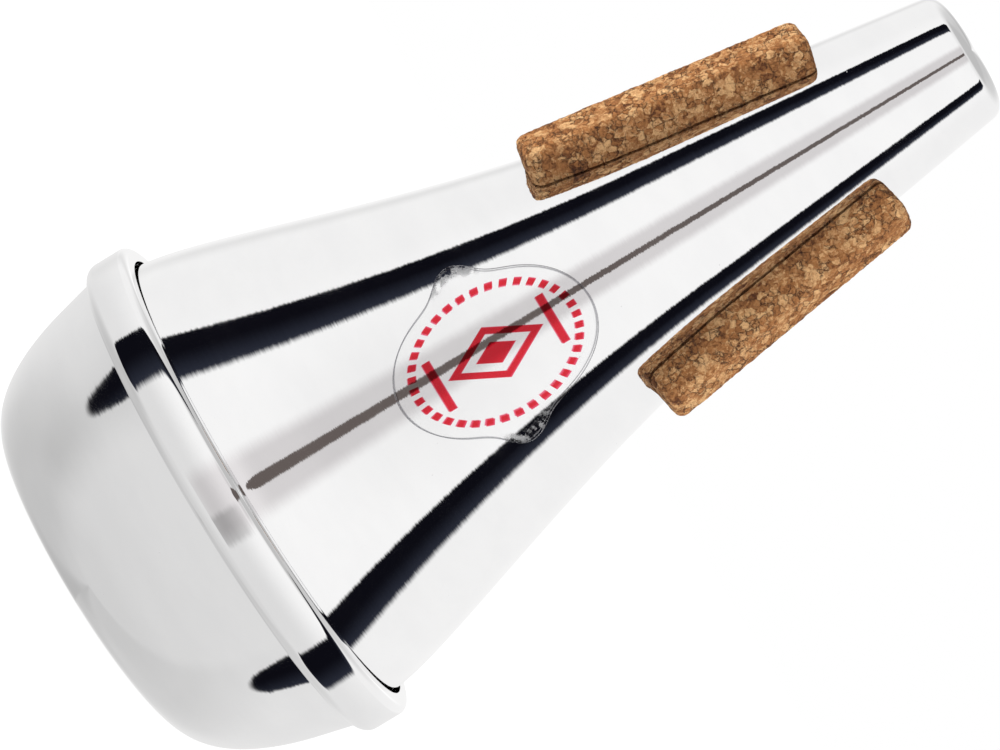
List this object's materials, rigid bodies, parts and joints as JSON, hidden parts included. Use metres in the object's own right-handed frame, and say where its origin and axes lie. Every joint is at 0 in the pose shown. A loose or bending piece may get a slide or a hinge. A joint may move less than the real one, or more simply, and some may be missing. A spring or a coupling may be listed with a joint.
{
  "type": "trumpet straight mute",
  "caption": "Spun aluminium cone mute for a trumpet bell: a flared cone with an open mouth, closed by a stepped base cup, held by cork strips.",
  "frame": {"origin": "centre of the flat base, on the mute's axis", "axes": "+Z along the axis from the base cup to the small open mouth, -Y towards the side that carries the label, +X to the right seen from that side"},
  "size_m": [0.094, 0.094, 0.1775],
  "materials": {
    "cup_aluminium": "spun and buffed, soft gloss",
    "cone_aluminium": "spun and mirror polished, with fine lines round it",
    "cork": "granulated cork, dull",
    "clear_film": "clear plastic film with a red print"
  },
  "bodies": {
    "root": {"base_cap": "cup_aluminium", "cone_shell": "cone_aluminium", "cork_strip_right": "cork", "cork_strip_back": "cork", "cork_strip_left": "cork", "label_film": "clear_film"}
  },
  "joints": []
}
